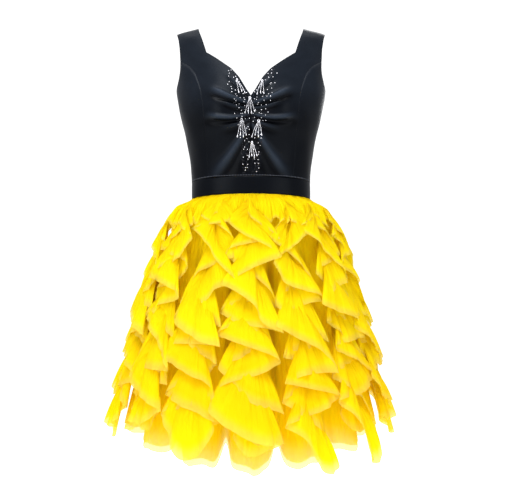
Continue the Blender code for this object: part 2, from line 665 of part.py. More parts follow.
def make_zip(finish, home, cutters):
    """Slider with its arch, and the pull tab hanging from the arch by a bar on the hinge axis."""
    place = np.array(ZIP_DROP)
    centre_back = np.array(math.pi - 1e-4)
    lean = body_point(centre_back, place + PULL_SIZE[2]) - body_point(centre_back, place)
    tilt = math.atan2(lean[1], PULL_SIZE[2])
    seat = body_point(centre_back, place)
    half_slider = SLIDER_SIZE[1] / 2.0
    face = ZIP_STAND_OFF + SLIDER_SIZE[1]
    axis_out = face + (ARCH_SIZE[1] - ARCH_OPENING[1]) / 4.0 + PULL_BAR / 2.0
    slider = block("zip_slider", SLIDER_SIZE, (0.0, ZIP_STAND_OFF + half_slider, 0.0), home)
    round_edges(slider, EDGE_BEVEL, 2)
    arch = block("arch_tool", ARCH_SIZE, (0.0, face + ARCH_SIZE[1] / 2.0 - EDGE_BEVEL, 0.0), cutters)
    opening = block("arch_opening_tool", ARCH_OPENING, (0.0, face + ARCH_OPENING[1] / 2.0, 0.0), cutters)
    combine(slider, arch, "UNION")
    combine(slider, opening, "DIFFERENCE")
    pull = block("zip_pull", PULL_SIZE, (0.0, 0.0, PULL_BAR / 2.0 - PULL_SIZE[2] / 2.0), home)
    round_edges(pull, EDGE_BEVEL, 1)
    hole_centre = (0.0, 0.0, -PULL_BAR / 2.0 - PULL_OPENING[2] / 2.0)
    hole = block("pull_opening_tool", PULL_OPENING, hole_centre, cutters)
    combine(pull, hole, "DIFFERENCE")
    for item in (slider, arch, opening):
        item.location = Vector((0.0, float(seat[1]) * MM, float(seat[2]) * MM))
        item.rotation_euler = (tilt, 0.0, 0.0)
    swing_y = float(seat[1]) + axis_out * math.cos(tilt)
    swing_z = float(seat[2]) + axis_out * math.sin(tilt)
    for item in (pull, hole):
        item.location = Vector((0.0, swing_y * MM, swing_z * MM))
        item.rotation_euler = (tilt, 0.0, 0.0)
    for item in (slider, pull):
        item.data.materials.append(finish)


def build():
    """Make every piece of the dress."""
    remove_everything()
    home = collection("bralette_dress")
    cutters = collection("cutters")
    satin = material("black_satin", (0.012, 0.016, 0.03), 0.35)
    tulle = material("yellow_tulle", (1.0, 0.78, 0.0), 0.7)
    beads = material("silver_beads", (0.8, 0.8, 0.83), 0.25, 0.9)
    black_metal = material("black_metal", (0.02, 0.02, 0.025), 0.4, 0.8)
    for side, word in ((-1, "left"), (1, "right")):
        make_front_centre(side, "front_centre_" + word, satin, home)
        make_front_side(side, "front_side_" + word, satin, home)
        make_back(side, "back_" + word, satin, home)
    quarter = math.pi / 2.0
    make_band("waistband_front", -quarter, quarter, BAND_FRONT_SPANS, satin, home)
    make_band("waistband_back_right", quarter, 2.0 * quarter, BAND_BACK_SPANS, satin, home)
    make_band("waistband_back_left", 2.0 * quarter, 3.0 * quarter, BAND_BACK_SPANS, satin, home)
    for maker, word in ((make_underskirt, "underskirt"), (make_flounce, "flounce")):
        maker(word + "_front", -quarter, quarter, tulle, home)
        maker(word + "_back_right", quarter, 2.0 * quarter, tulle, home)
        maker(word + "_back_left", 2.0 * quarter, 3.0 * quarter, tulle, home)
    for row in RUFFLES:
        make_ruffle(row, tulle, home)
    for number, row in enumerate(TASSELS, start=1):
        make_tassel(number, row, beads, home)
    make_zip(black_metal, home, cutters)


build()
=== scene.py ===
"""Looks of the bralette dress: black satin bodice with a beaded, gathered centre front, and a full
skirt of yellow tulle ruffles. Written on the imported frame. Sizes are millimetres until a mesh is
made; "drop" is the distance below the shoulder line and "theta" the angle round the body from
centre front."""
import math

import bpy
import numpy as np
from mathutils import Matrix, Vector


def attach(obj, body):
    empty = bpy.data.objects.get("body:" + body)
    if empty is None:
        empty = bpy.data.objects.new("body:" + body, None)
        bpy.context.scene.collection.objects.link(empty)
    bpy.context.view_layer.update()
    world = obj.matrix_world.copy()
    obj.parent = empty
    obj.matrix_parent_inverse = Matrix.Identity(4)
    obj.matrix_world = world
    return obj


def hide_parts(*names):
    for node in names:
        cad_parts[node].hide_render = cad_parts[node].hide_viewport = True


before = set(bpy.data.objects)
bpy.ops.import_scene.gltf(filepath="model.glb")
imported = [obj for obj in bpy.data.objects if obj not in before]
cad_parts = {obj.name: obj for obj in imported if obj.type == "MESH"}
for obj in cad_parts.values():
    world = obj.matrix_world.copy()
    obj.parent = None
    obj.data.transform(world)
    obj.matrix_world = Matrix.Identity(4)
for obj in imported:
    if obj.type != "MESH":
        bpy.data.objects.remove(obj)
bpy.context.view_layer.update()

# Units, a full turn, and the steps over which the body's normals are measured
MILLIMETRE = 0.001
SQUARE_MILLIMETRE = 1e-6
TURN = 2.0 * math.pi
ANGLE_STEP = 1e-3
DROP_STEP = 0.2

# Studio. The dress stands worn but empty over a plain pale floor, seen from the front by a camera at
# hip height, tipped up a little and with its frame raised, so that the whole dress fits it.
# Large soft lamps stand above, at both front sides, behind and high overhead, in an even white room.
CAMERA_AT = (0.003, -1.5, -0.574)
LOOK_AT = (0.003, 0.0, -0.54)
LAMPS_LOOK_AT = (0.0, 0.0, -0.45)
SENSOR_WIDTH = 36.0
FOCAL_LENGTH = 53.47
FRAME_RAISED = 0.101
ROOM_SEEN = 1.2
ROOM_SHED = 0.65
FLOOR_Z = -1.32
FLOOR_REACH = 9.0

scene = bpy.context.scene
lens = bpy.data.cameras.new("camera")
lens.sensor_width = SENSOR_WIDTH
lens.lens = FOCAL_LENGTH
lens.shift_y = FRAME_RAISED
camera = bpy.data.objects.new("camera", lens)
camera.location = CAMERA_AT
camera.rotation_euler = (Vector(LOOK_AT) - Vector(CAMERA_AT)).to_track_quat("-Z", "Y").to_euler()
scene.collection.objects.link(camera)
scene.camera = camera
scene.view_settings.view_transform = "Standard"

world = bpy.data.worlds.new("white_room")
scene.world = world
world.use_nodes = True
seen = world.node_tree.nodes["Background"]
seen.inputs["Color"].default_value = (1.0, 1.0, 1.0, 1.0)
seen.inputs["Strength"].default_value = ROOM_SEEN
shed = world.node_tree.nodes.new("ShaderNodeBackground")
shed.inputs["Color"].default_value = (0.95, 0.97, 1.0, 1.0)
shed.inputs["Strength"].default_value = ROOM_SHED
rays = world.node_tree.nodes.new("ShaderNodeLightPath")
either = world.node_tree.nodes.new("ShaderNodeMixShader")
world.node_tree.links.new(rays.outputs["Is Camera Ray"], either.inputs[0])
world.node_tree.links.new(shed.outputs[0], either.inputs[1])
world.node_tree.links.new(seen.outputs[0], either.inputs[2])
world.node_tree.links.new(either.outputs[0], world.node_tree.nodes["World Output"].inputs["Surface"])

for name, at, size, power in (
        ("lamp_above", (-0.3, -1.1, 1.5), 1.1, 38.0),
        ("lamp_left", (-1.7, -2.2, 0.2), 1.5, 25.0),
        ("lamp_right", (1.9, -2.2, 0.0), 1.5, 18.0),
        ("lamp_back", (0.6, 2.4, 1.2), 1.8, 26.0),
        ("lamp_floor", (0.0, -0.2, 2.6), 3.0, 31.0)):
    lamp = bpy.data.lights.new(name, "AREA")
    lamp.size = size
    lamp.energy = power
    held = bpy.data.objects.new(name, lamp)
    held.location = at
    aim = Vector(LAMPS_LOOK_AT) - Vector(at)
    held.rotation_euler = aim.to_track_quat("-Z", "Y").to_euler()
    scene.collection.objects.link(held)


class Number:
    """A shader socket that can be used in sums: each operator adds one Math node."""

    def __init__(self, tree, socket):
        self.tree = tree
        self.socket = socket

    def sum_node(self, operation, first, second=None):
        node = self.tree.nodes.new("ShaderNodeMath")
        node.operation = operation
        for place, value in enumerate((first, second)):
            if isinstance(value, Number):
                self.tree.links.new(value.socket, node.inputs[place])
            elif value is not None:
                node.inputs[place].default_value = value
        return Number(self.tree, node.outputs[0])

    def __add__(self, other):
        return self.sum_node("ADD", self, other)

    def __radd__(self, other):
        return self.sum_node("ADD", other, self)

    def __sub__(self, other):
        return self.sum_node("SUBTRACT", self, other)

    def __rsub__(self, other):
        return self.sum_node("SUBTRACT", other, self)

    def __mul__(self, other):
        return self.sum_node("MULTIPLY", self, other)

    def __rmul__(self, other):
        return self.sum_node("MULTIPLY", other, self)

    def clipped(self):
        return self.sum_node("MINIMUM", self.sum_node("MAXIMUM", self, 0.0), 1.0)


class Finish:
    """A material being built: node() adds any node, with its settings first and then its sockets."""

    def __init__(self, name):
        self.material = bpy.data.materials.new(name)
        self.material.use_nodes = True
        self.tree = self.material.node_tree
        self.shader = self.tree.nodes["Principled BSDF"]
        self.output = self.tree.nodes["Material Output"]

    def node(self, kind, settings=None, values=None):
        made = self.tree.nodes.new(kind)
        for key, value in (settings or {}).items():
            setattr(made, key, value)
        for key, value in (values or {}).items():
            self.join(value, made.inputs[key])
        return made

    def join(self, value, socket):
        if isinstance(value, Number):
            self.tree.links.new(value.socket, socket)
        elif isinstance(value, bpy.types.NodeSocket):
            self.tree.links.new(value, socket)
        else:
            socket.default_value = value

    def number(self, socket):
        return Number(self.tree, socket)

    def set(self, **values):
        for key, value in values.items():
            self.join(value, self.shader.inputs[key.replace("_", " ")])


floor_finish = Finish("pale_floor")
floor_finish.set(Base_Color=(0.97, 0.97, 0.97, 1.0), Roughness=0.9,
                 Emission_Color=(1.0, 1.0, 1.0, 1.0), Emission_Strength=0.6)
floor = bpy.data.meshes.new("floor")
floor.from_pydata([(x * FLOOR_REACH, y * FLOOR_REACH, FLOOR_Z)
                   for x, y in ((-1, -1), (1, -1), (1, 1), (-1, 1))], [], [(0, 1, 2, 3)])
floor.materials.append(floor_finish.material)
floor_object = bpy.data.objects.new("floor", floor)
scene.collection.objects.link(floor_object)


# Bodice panels. Heavy black satin with a soft navy sheen, which comes partly from its gloss and partly
# from painted sheen in its colour, cut as two centre fronts with their straps, two side fronts and two
# backs, joined at curved princess seams and side seams.
# Gathers are drawn in at centre front, so soft folds fan out over each cup and under the bust.
BODY_COLUMNS = ("drop", "half_width", "front", "back")
BODY_SECTIONS = (
    (0.0, 162.0, 0.3, 0.3), (0.8, 162.0, 9.0, 9.0),
    (3.0, 161.5, 20.0, 19.0), (8.0, 161.0, 34.0, 32.0),
    (18.0, 160.0, 52.0, 49.0), (35.0, 158.0, 70.0, 66.0), (60.0, 154.5, 84.0, 80.0),
    (80.0, 152.0, 92.0, 87.0), (105.0, 150.0, 100.0, 93.0), (130.0, 149.0, 106.0, 97.0),
    (160.0, 144.5, 111.0, 99.0), (188.0, 138.5, 112.5, 99.0), (215.0, 131.5, 110.0, 97.0),
    (250.0, 124.5, 102.0, 93.0), (285.0, 120.0, 95.0, 89.5), (312.0, 118.5, 92.0, 88.0),
    (345.0, 118.5, 92.0, 88.0))
SECTION_POWER = 2.3
NECK_EDGE = ((0.0, 105.0), (20.0, 101.0), (45.0, 93.0), (72.0, 85.0), (84.0, 69.0), (96.0, 54.0),
             (110.0, 37.0), (128.0, 22.0), (152.0, 8.0), (163.0, 0.0))
STRAP_OUTER_EDGE = ((0.0, 149.0), (20.0, 144.0), (50.0, 140.0), (80.0, 138.0))
PRINCESS_SEAM = ((80.0, 138.0), (88.0, 127.0), (96.0, 117.5), (110.0, 107.5), (128.0, 100.5),
                 (145.0, 95.5), (172.0, 91.0), (204.0, 88.5), (245.0, 85.0), (312.0, 80.0))
BACK_NECK_EDGE = ((0.0, 105.0), (20.0, 103.0), (50.0, 96.0), (78.0, 82.0), (98.0, 56.0),
                  (110.0, 28.0), (115.0, 0.0))
BACK_ARMHOLE_EDGE = ((0.0, 149.0), (25.0, 144.0), (60.0, 139.0), (90.0, 138.5), (112.0, 143.0),
                     (124.0, 147.4), (130.0, 149.0))
ARMHOLE_TOP = 80.0
UNDERARM = 130.0
BAND_TOP = 312.0
BAND_BOTTOM = 345.0
# Half the gap at each seam, the satin's wall, where the bodice ends, and the turn over the shoulder
HALF_GAP = 0.02
SATIN_THICK = 1.3
BODICE_END = BAND_TOP - 0.3
SHOULDER_TURN = 12.0
SHOULDER_ROWS = 14
# Cups and the hollow between them, then the slope of the shoulders outside the neck
CUP_DROP = 186.0
CUP_X = 66.0
CUP_HALF_WIDTH = 38.0
CUP_HALF_HEIGHT = 42.0
CUP_SWELL = 11.0
CLEFT_HALF_WIDTH = 26.0
CLEFT_HOLLOW = 7.0
SHOULDER_FALL = 0.23
SHOULDER_FALL_FROM = 105.0
SHOULDER_FALL_OVER = 60.0
# Trough along each fold: its share of the fold's height, its distance and its width in fold widths
TROUGH_DEPTH = 0.55
TROUGH_AWAY = 1.9
TROUGH_WIDTH = 1.1
# Folds from the centre line: start drop, end x, end drop, height, half width, sag, fade to the end
FOLDS = (
    (164.0, 44.0, 122.0, 2.2, 3.5, 2.0, 0.5), (178.0, 74.0, 150.0, 6.2, 4.6, 4.0, 0.72),
    (187.0, 60.0, 172.0, 2.2, 3.5, 5.0, 0.6), (198.0, 80.0, 200.0, 5.8, 4.2, 7.0, 0.78),
    (205.0, 54.0, 224.0, 2.2, 4.0, 4.0, 0.6), (214.0, 72.0, 312.0, 5.0, 8.0, 3.0, 0.66),
    (238.0, 34.0, 300.0, 2.2, 6.0, 2.0, 0.5))


def smooth(at, stations, values):
    """Cubic through a table's values whose slopes are limited so that it never swings past them."""
    at = np.asarray(at, dtype=float)
    stations = np.asarray(stations, dtype=float)
    values = np.asarray(values, dtype=float)
    step = np.diff(stations)
    rise = np.diff(values) / step
    slope = np.zeros(len(values))
    total = rise[:-1] + rise[1:]
    product = rise[:-1] * rise[1:]
    slope[1:-1] = np.where(product > 0.0, 2.0 * product / np.where(total == 0.0, 1.0, total), 0.0)
    slope[0] = rise[0]
    slope[-1] = rise[-1]
    place = np.clip(np.searchsorted(stations, at, side="right") - 1, 0, len(step) - 1)
    t = np.clip((at - stations[place]) / step[place], 0.0, 1.0)
    rest = 1.0 - t
    curve = values[place] * (1.0 + 2.0 * t) * rest ** 2
    curve = curve + values[place + 1] * (3.0 - 2.0 * t) * t ** 2
    return curve + step[place] * (slope[place] * t * rest ** 2 + slope[place + 1] * t ** 2 * (t - 1.0))


def section(name, drop):
    """One column of the body table at any drop."""
    table = np.array(BODY_SECTIONS)
    return smooth(drop, table[:, 0], table[:, BODY_COLUMNS.index(name)])


def edge(table, drop):
    """Edge of a panel at a drop, straight between the points of its table."""
    table = np.array(table)
    return np.interp(drop, table[:, 0], table[:, 1])


def signed_power(value, power):
    """Power that keeps the sign of its base."""
    return np.sign(value) * np.abs(value) ** power


def theta_at(x, drop):
    """Angle whose sine, raised to 2 / power, is x over the half width."""
    return np.arcsin(np.clip(x / section("half_width", drop), 0.0, 1.0) ** (SECTION_POWER / 2.0))


def body_point(theta, drop):
    """Superellipse sections, swollen by a bell curve at each cup and hollowed by one between them."""
    x = section("half_width", drop) * signed_power(np.sin(theta), 2.0 / SECTION_POWER)
    depth = np.where(np.cos(theta) > 0.0, section("front", drop), section("back", drop))
    y = -depth * signed_power(np.cos(theta), 2.0 / SECTION_POWER)
    height = ((drop - CUP_DROP) / CUP_HALF_HEIGHT) ** 2
    swell = np.exp(-((np.abs(x) - CUP_X) / CUP_HALF_WIDTH) ** 2 - height)
    cleft = np.exp(-(x / CLEFT_HALF_WIDTH) ** 2 - height)
    y = y - np.clip(np.cos(theta), 0.0, 1.0) * (CUP_SWELL * swell - CLEFT_HOLLOW * cleft)
    slope = SHOULDER_FALL * np.clip(np.abs(x) - SHOULDER_FALL_FROM, 0.0, None)
    slope = slope * np.clip(1.0 - drop / SHOULDER_FALL_OVER, 0.0, 1.0)
    return np.stack([x, y, -drop - slope], axis=-1)


def body_normal(theta, drop):
    """Outward direction: the step down crossed with the step round."""
    round_step = body_point(theta + ANGLE_STEP, drop) - body_point(theta - ANGLE_STEP, drop)
    above = np.clip(drop - DROP_STEP, 0.0, None)
    down_step = body_point(theta, drop + DROP_STEP) - body_point(theta, above)
    normal = np.cross(down_step, round_step)
    normal[..., 1] = np.where(drop > 0.0, normal[..., 1], 0.0)
    return normal / np.linalg.norm(normal, axis=-1, keepdims=True)


def fold_relief(x, drop):
    """Sum of ridges: each is a bell curve across its line, with a shallower trough along its lower
    side, grows from the centre line and fades out."""
    relief = np.zeros(np.shape(x))
    for start_drop, end_x, end_drop, height, half_width, sag, fade in FOLDS:
        length = math.hypot(end_x, end_drop - start_drop)
        along = (np.abs(x) * end_x + (drop - start_drop) * (end_drop - start_drop)) / length ** 2
        bow = sag * np.sin(math.pi * np.clip(along, 0.0, 1.0))
        across = (np.abs(x) * (end_drop - start_drop) - (drop - start_drop) * end_x) / length + bow
        widen = half_width * (0.5 + 0.8 * np.clip(along, 0.0, 1.2))
        late = np.clip(along - fade, 0.0, None) / (1.15 - fade) * 1.9
        reach = np.clip(along * 7.0, 0.0, 1.0) * np.exp(-late ** 2)
        reach = reach * np.clip(1.0 + 6.0 * along, 0.0, 1.0)
        trough = np.exp(-((across / widen + TROUGH_AWAY) / TROUGH_WIDTH) ** 2)
        ridge = np.exp(-(across / widen) ** 2) - TROUGH_DEPTH * trough
        relief = relief + height * reach * ridge
    return relief


def bodice_surface(theta, drop, out=0.0):
    """Body surface moved outwards by the folds, by slow unevenness of worn satin, and by out."""
    base = body_point(theta, drop)
    front = np.clip(np.cos(theta) * 4.0, 0.0, 1.0)
    relief = front * fold_relief(base[..., 0], drop)
    uneven = 0.45 * np.sin(drop / 13.0 + 2.3 * np.sin(theta * 3.0))
    uneven = uneven * np.sin(theta * 7.0 + drop / 41.0)
    return base + body_normal(theta, drop) * (relief + uneven + out)[..., None]


def cloth(name, points, finish, thick=0.0, layers=None):
    """Mesh from a grid of points in millimetres: quads between neighbours, a UV map in metres of
    cloth along both ways, and the named layer values as point attributes."""
    rows, columns = points.shape[:2]
    metres = points.reshape(-1, 3) * MILLIMETRE
    index = np.arange(rows * columns).reshape(rows, columns)
    corners = [index[:-1, :-1], index[1:, :-1], index[1:, 1:], index[:-1, 1:]]
    quads = np.stack(corners, axis=-1).reshape(-1, 4)
    mesh = bpy.data.meshes.new(name)
    mesh.vertices.add(len(metres))
    mesh.vertices.foreach_set("co", metres.ravel())
    mesh.loops.add(quads.size)
    mesh.loops.foreach_set("vertex_index", quads.ravel())
    mesh.polygons.add(len(quads))
    mesh.polygons.foreach_set("loop_start", np.arange(0, quads.size, 4))
    mesh.polygons.foreach_set("loop_total", np.full(len(quads), 4))
    mesh.update()
    grid = metres.reshape(rows, columns, 3)
    across = np.linalg.norm(np.diff(grid, axis=1), axis=-1).mean(axis=0)
    down = np.linalg.norm(np.diff(grid, axis=0), axis=-1).mean(axis=1)
    u = np.broadcast_to(np.append(0.0, np.cumsum(across))[None, :], (rows, columns)).ravel()
    v = np.broadcast_to(np.append(0.0, np.cumsum(down))[:, None], (rows, columns)).ravel()
    uv = mesh.uv_layers.new(name="cloth")
    uv.data.foreach_set("uv", np.stack([u[quads.ravel()], v[quads.ravel()]], axis=-1).ravel())
    for key, values in (layers or {}).items():
        layer = mesh.attributes.new(key, "FLOAT", "POINT")
        values = np.broadcast_to(values, (rows, columns)).ravel()
        layer.data.foreach_set("value", values.astype(np.float32))
    mesh.shade_smooth()
    mesh.materials.append(finish.material)
    made = bpy.data.objects.new(name, mesh)
    scene.collection.objects.link(made)
    if thick:
        wall = made.modifiers.new("wall", "SOLIDIFY")
        wall.thickness = thick * MILLIMETRE
        wall.offset = -1.0
    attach(made, "dress")
    return made


def cloth_area(points):
    """Area of a grid in square metres: half of each quad's two diagonals crossed."""
    first = points[1:, 1:] - points[:-1, :-1]
    second = points[1:, :-1] - points[:-1, 1:]
    crossed = np.linalg.norm(np.cross(first, second), axis=-1)
    return float(crossed.sum() / 2.0) * SQUARE_MILLIMETRE


def declare(points):
    """Sheet of cloth: its area in square metres is worked out from this finished mesh, not from a
    pattern, and is not used further. None of them is taken from a pattern, so an area measured on
    the mesh agrees with the stated one by construction."""
    area = cloth_area(points)


# Near-black satin, and the lighter navy that painted sheen brings it to
SATIN_DARK = (0.0008, 0.0009, 0.0016, 1.0)
SATIN_SHEEN = (0.026, 0.035, 0.051, 1.0)
satin = Finish("black_satin")
place = satin.node("ShaderNodeUVMap", {"uv_map": "cloth"}).outputs[0]
painted_sheen = satin.number(satin.node("ShaderNodeAttribute", {"attribute_name": "painted_sheen"}).outputs["Fac"])
slow = satin.node("ShaderNodeTexNoise", {},
                  {"Vector": place, "Scale": 26.0, "Detail": 3.0}).outputs["Fac"]
fine = satin.node("ShaderNodeTexNoise", {},
                  {"Vector": place, "Scale": 900.0, "Detail": 2.0}).outputs["Fac"]
# Painted sheen: the sheen layer, varied by slow noise, lightens the colour from near black towards
# navy
shade = satin.node("ShaderNodeMix", {"data_type": "RGBA"},
                   {"Factor": (painted_sheen * (0.24 + 0.32 * satin.number(slow))).clipped(),
                    "A": SATIN_DARK, "B": SATIN_SHEEN})
weave = satin.node("ShaderNodeBump", {}, {"Strength": 0.12, "Distance": 0.0004, "Height": fine})
satin.set(Base_Color=shade.outputs["Result"], Roughness=0.27 + 0.12 * satin.number(slow),
          Normal=weave.outputs[0])
satin.shader.inputs["Specular IOR Level"].default_value = 0.055
satin.shader.inputs["Specular Tint"].default_value = (0.86, 0.93, 1.0, 1.0)


def turned(theta, drop, gap):
    """Angle moved round by a gap measured on the body."""
    step = body_point(theta + ANGLE_STEP, drop) - body_point(theta - ANGLE_STEP, drop)
    step = np.linalg.norm(step, axis=-1)
    return theta + gap * (2.0 * ANGLE_STEP) / np.maximum(step, 1e-6)


def panel_drops(rows):
    """Rows of a panel that has a strap: close together where it turns over the shoulder."""
    over = np.linspace(0.0, SHOULDER_TURN, SHOULDER_ROWS)
    return np.unique(np.concatenate([over, np.linspace(SHOULDER_TURN, BODICE_END, rows)]))


def centre_front_grid(rows, columns):
    """From the neckline and centre front to the strap's outer edge and the princess seam."""
    drop = panel_drops(rows)
    inner = theta_at(np.maximum(edge(NECK_EDGE, drop), HALF_GAP), drop)
    strap = edge(STRAP_OUTER_EDGE, drop)
    seam = edge(PRINCESS_SEAM, drop)
    outer = theta_at(np.where(drop < ARMHOLE_TOP, strap, seam), drop)
    outer = np.where(drop >= ARMHOLE_TOP, turned(outer, drop, -HALF_GAP), outer)
    share = np.linspace(0.0, 1.0, columns)
    theta = inner[:, None] + (outer - inner)[:, None] * share[None, :]
    return theta, np.broadcast_to(drop[:, None], theta.shape)


def side_front_grid(rows, columns):
    """From the princess seam to the side seam, with the armhole curving down across the top."""
    share = np.linspace(0.0, 1.0, columns)
    top = ARMHOLE_TOP + (UNDERARM - ARMHOLE_TOP) * np.sqrt(1.0 - (1.0 - share) ** 2)
    drop = top[None, :] + (BODICE_END - top)[None, :] * np.linspace(0.0, 1.0, rows)[:, None]
    seam_drop = drop[:, :1]
    seam = turned(theta_at(edge(PRINCESS_SEAM, seam_drop), seam_drop), seam_drop, HALF_GAP)
    side = turned(np.full(drop.shape, math.pi / 2.0), drop, -HALF_GAP)
    return seam + (side - seam) * share[None, :], drop


def back_grid(rows, columns):
    """From centre back to the side seam, with its strap, neck edge and armhole."""
    drop = panel_drops(rows)
    inner = math.pi - theta_at(np.maximum(edge(BACK_NECK_EDGE, drop), HALF_GAP), drop)
    armhole = math.pi - theta_at(edge(BACK_ARMHOLE_EDGE, drop), drop)
    side = turned(np.full(drop.shape, math.pi / 2.0), drop, HALF_GAP)
    outer = np.where(drop < UNDERARM, np.maximum(armhole, side), side)
    theta = inner[:, None] + (outer - inner)[:, None] * np.linspace(0.0, 1.0, columns)[None, :]
    return theta, np.broadcast_to(drop[:, None], theta.shape)


# Painted sheen on the satin: most over the bust, fading downwards, and painted highlights along the
# crests of the folds
PAINTED_SHEEN_END = 205.0
PAINTED_SHEEN_OVER = 70.0
for side, word in ((-1, "left"), (1, "right")):
    for part_name, (theta, drop) in (("front_centre", centre_front_grid(170, 76)),
                                     ("front_side", side_front_grid(96, 40)),
                                     ("back", back_grid(120, 64))):
        points = bodice_surface(side * theta, drop)
        outward = side if part_name != "back" else -side
        points = points[:, ::outward]
        height = drop[:, ::outward]
        # Painted sheen: lighter over the bust and fading below it, with painted highlights along the
        # crests of the folds
        painted_sheen = 0.5 * np.clip((PAINTED_SHEEN_END - height) / PAINTED_SHEEN_OVER, 0.0, 1.0) + 0.10
        crest = 0.28 * fold_relief(points[..., 0], height) * (points[..., 1] < 0.0)
        painted_sheen = np.clip(painted_sheen + crest, 0.0, 3.0)
        panel = cloth("satin_%s_%s" % (part_name, word), points, satin, SATIN_THICK,
                      {"painted_sheen": painted_sheen})
        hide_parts("%s_%s" % (part_name, word))
        declare(points)


# Waistband. A straight band of the same satin set in between bodice and skirt, one length across the
# front and two across the back that stop at the zip, with seams at the sides.
band_rows = np.linspace(BAND_TOP, BAND_BOTTOM, 18)
for word, start, end, columns in (("front", -90.0, 90.0, 150), ("back_right", 90.0, 180.0, 76),
                                  ("back_left", 180.0, 270.0, 76)):
    theta = np.radians(np.linspace(start, end, columns))
    gap = np.zeros(columns)
    gap[0] = HALF_GAP
    gap[-1] = -HALF_GAP
    theta, drop = np.meshgrid(theta, band_rows)
    base = body_point(turned(theta, drop, gap[None, :]), drop)
    roll = 0.5 * np.sin(math.pi * (drop - BAND_TOP) / (BAND_BOTTOM - BAND_TOP)) ** 0.5 - 0.5
    ripple = 0.25 * np.sin(theta * 9.0 + drop / 9.0)
    points = base + body_normal(theta, drop) * (roll + ripple * (roll + 0.5))[..., None]
    # The band gets a low, even painted sheen
    band = cloth("satin_waistband_" + word, points, satin, SATIN_THICK, {"painted_sheen": 0.12})
    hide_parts("waistband_" + word)
    declare(points)


# Underskirt. Yellow tulle gathered into the waistband and standing in deep flutes, one under each
# ruffle column. A full layer and a longer sheer one whose hem shows pale below it.
SKIRT_COLUMNS = ("drop", "half_width", "half_depth", "flute")
SKIRT_SECTIONS = (
    (345.0, 116.2, 89.5, 0.0), (350.0, 118.0, 91.0, 0.0), (358.0, 128.0, 101.0, 1.0),
    (385.0, 144.0, 117.0, 3.0), (420.0, 156.0, 129.0, 4.5), (480.0, 170.0, 143.0, 6.0),
    (560.0, 184.0, 157.0, 9.0), (640.0, 201.0, 174.0, 12.0), (720.0, 219.0, 192.0, 16.0),
    (800.0, 234.0, 207.0, 20.0), (840.0, 240.0, 213.0, 21.0))
FLUTES = 15
# Bright and deeper yellow of the tulle: the mix between them varies at random and, through the edge
# layer, with painted light and shade
TULLE_YELLOW = (1.0, 0.86, 0.003, 1.0)
TULLE_DEEP = (1.0, 0.70, 0.001, 1.0)
TULLE_PALE = (0.86, 0.68, 0.15, 1.0)
TULLE_LIT = (1.0, 0.80, 0.004, 1.0)
THROUGH_SHARE = 0.38
# Dark brown of painted shade between the ruffle columns and under the folds
GAP_PAINTED_SHADE = (0.26, 0.07, 0.008, 1.0)
# Hem: its drop at the sides, what front and back hang lower, and its rise between two flutes
HEM_DROP = 786.0
HEM_FRONT = 53.0
HEM_BACK = 40.0
HEM_RISE = 40.0


def tulle_finish(name, solid, grain=(9.0, 120.0, 1.0)):
    """Matt net cloth that lets some light through: Principled mixed with Translucent. The point
    layers: "edge" runs from 0 where layers lie thick to 1 at a free edge and lightens the colour,
    partly the deeper colour of thick layers and partly painted light at free edges and painted
    shade under the folds; "pale" makes it paler and sheerer, "shade" is painted shade that turns
    it towards a dark brown, "crimp" deepens its creases."""
    made = Finish(name)

    def layer(key):
        return made.number(made.node("ShaderNodeAttribute", {"attribute_name": key}).outputs["Fac"])

    def noise(vector, scale, detail):
        return made.node("ShaderNodeTexNoise", {},
                         {"Vector": vector, "Scale": scale, "Detail": detail}).outputs["Fac"]

    place = made.node("ShaderNodeUVMap", {"uv_map": "cloth"}).outputs[0]
    pale, dark, crimp, painted_edge_light = layer("pale"), layer("shade"), layer("crimp"), layer("edge")
    cloud = noise(place, 34.0, 4.0)
    net = noise(place, 1500.0, 1.0)
    # Colour: random cloud plus the edge layer's painted light and shade
    colour = made.node("ShaderNodeMix", {"data_type": "RGBA"},
                       {"Factor": (made.number(cloud) * 1.4 - 0.75 + painted_edge_light).clipped(),
                        "A": TULLE_DEEP, "B": TULLE_YELLOW})
    single = made.node("ShaderNodeMix", {"data_type": "RGBA"},
                       {"Factor": (pale * 0.8).clipped(), "A": colour.outputs["Result"],
                        "B": TULLE_PALE})
    # Painted shade turns the colour towards dark brown
    toned = made.node("ShaderNodeMix", {"data_type": "RGBA"},
                      {"Factor": dark, "A": single.outputs["Result"], "B": GAP_PAINTED_SHADE})
    stretch = made.node("ShaderNodeMapping", {}, {"Vector": place, "Scale": grain}).outputs[0]
    crease = noise(stretch, 1.0, 3.0)
    height = made.number(crease) * crimp + 0.05 * made.number(net)
    bump = made.node("ShaderNodeBump", {}, {"Strength": 0.9, "Distance": 0.018, "Height": height})
    made.set(Base_Color=toned.outputs["Result"], Roughness=0.78, Alpha=solid - pale * 0.35,
             Normal=bump.outputs[0])
    made.shader.inputs["Specular IOR Level"].default_value = 0.05
    light_through = made.node("ShaderNodeBsdfTranslucent", {}, {"Color": TULLE_LIT})
    blend = made.node("ShaderNodeMixShader", {}, {"Fac": THROUGH_SHARE})
    made.tree.links.new(made.shader.outputs[0], blend.inputs[1])
    made.tree.links.new(light_through.outputs[0], blend.inputs[2])
    made.tree.links.new(blend.outputs[0], made.output.inputs["Surface"])
    return made


tulle = tulle_finish("yellow_tulle", 1.0)
sheer_tulle = tulle_finish("yellow_tulle_sheer", 0.80, (150.0, 7.0, 1.0))
skirt_tulle = tulle_finish("yellow_tulle_fluted", 1.0, (150.0, 7.0, 1.0))


def skirt_section(name, drop):
    """One column of the skirt table at any drop."""
    table = np.array(SKIRT_SECTIONS)
    return smooth(drop, table[:, 0], table[:, SKIRT_COLUMNS.index(name)])


def hem_drop(theta):
    """Longest at the front, shortest at the sides, lowest at each flute's tip."""
    extra = np.where(np.cos(theta) > 0.0, HEM_FRONT, HEM_BACK)
    between = ((1.0 - np.cos(FLUTES * theta)) / 2.0) ** 10
    return HEM_DROP + extra * np.cos(theta) ** 2 - HEM_RISE * between


